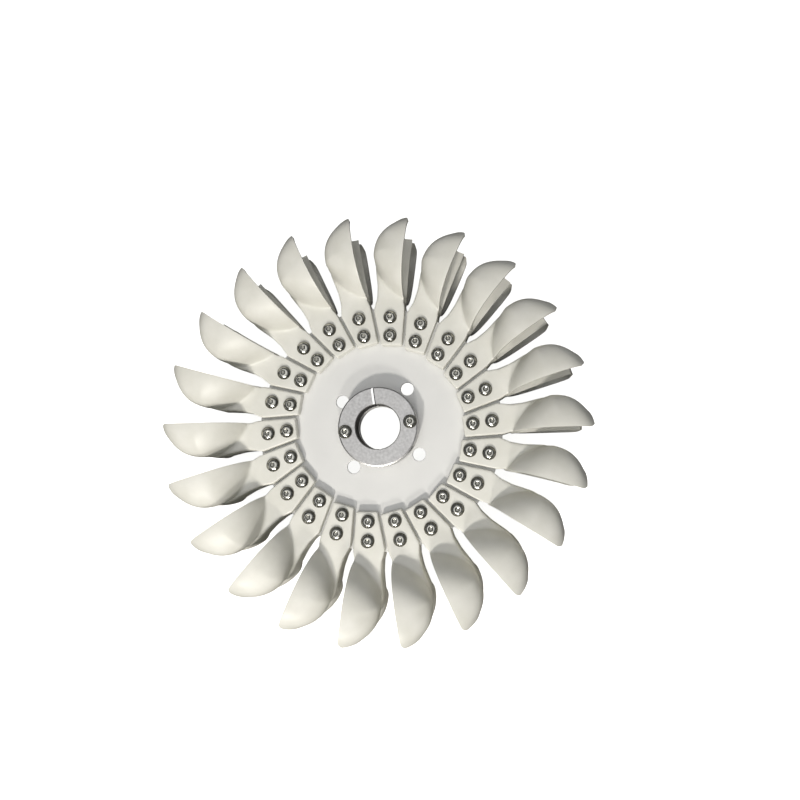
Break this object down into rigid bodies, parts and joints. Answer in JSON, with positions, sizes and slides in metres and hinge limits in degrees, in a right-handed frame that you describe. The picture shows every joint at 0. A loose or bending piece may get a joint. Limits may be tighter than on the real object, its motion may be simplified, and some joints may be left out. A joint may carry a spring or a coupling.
{
  "type": "impulse turbine runner",
  "caption": "Impulse turbine runner: a ring of double-cup buckets screwed to a round plate, with a split collar that clamps it on its shaft.",
  "frame": {"origin": "the wheel's centre, midway between the two rows of half cups", "axes": "+Z along the wheel's axis towards the collar side, +Y along the screw line of bucket_01"},
  "size_m": [0.2762, 0.2738, 0.0644],
  "materials": {
    "bucket_moulding": "satin",
    "plate": "satin",
    "collar": "turned",
    "screws": "polished"
  },
  "bodies": {
    "root": {"bucket_01": "bucket_moulding", "bucket_02": "bucket_moulding", "bucket_03": "bucket_moulding", "bucket_04": "bucket_moulding", "bucket_05": "bucket_moulding", "bucket_06": "bucket_moulding", "bucket_07": "bucket_moulding", "bucket_08": "bucket_moulding", "bucket_09": "bucket_moulding", "bucket_10": "bucket_moulding", "bucket_11": "bucket_moulding", "bucket_12": "bucket_moulding", "bucket_13": "bucket_moulding", "bucket_14": "bucket_moulding", "bucket_15": "bucket_moulding", "bucket_16": "bucket_moulding", "bucket_17": "bucket_moulding", "bucket_18": "bucket_moulding", "bucket_19": "bucket_moulding", "bucket_20": "bucket_moulding", "bucket_21": "bucket_moulding", "bucket_22": "bucket_moulding", "rotor_plate": "plate", "split_collar": "collar", "collar_screw_right": "screws", "collar_screw_left": "screws"}
  },
  "joints": []
}
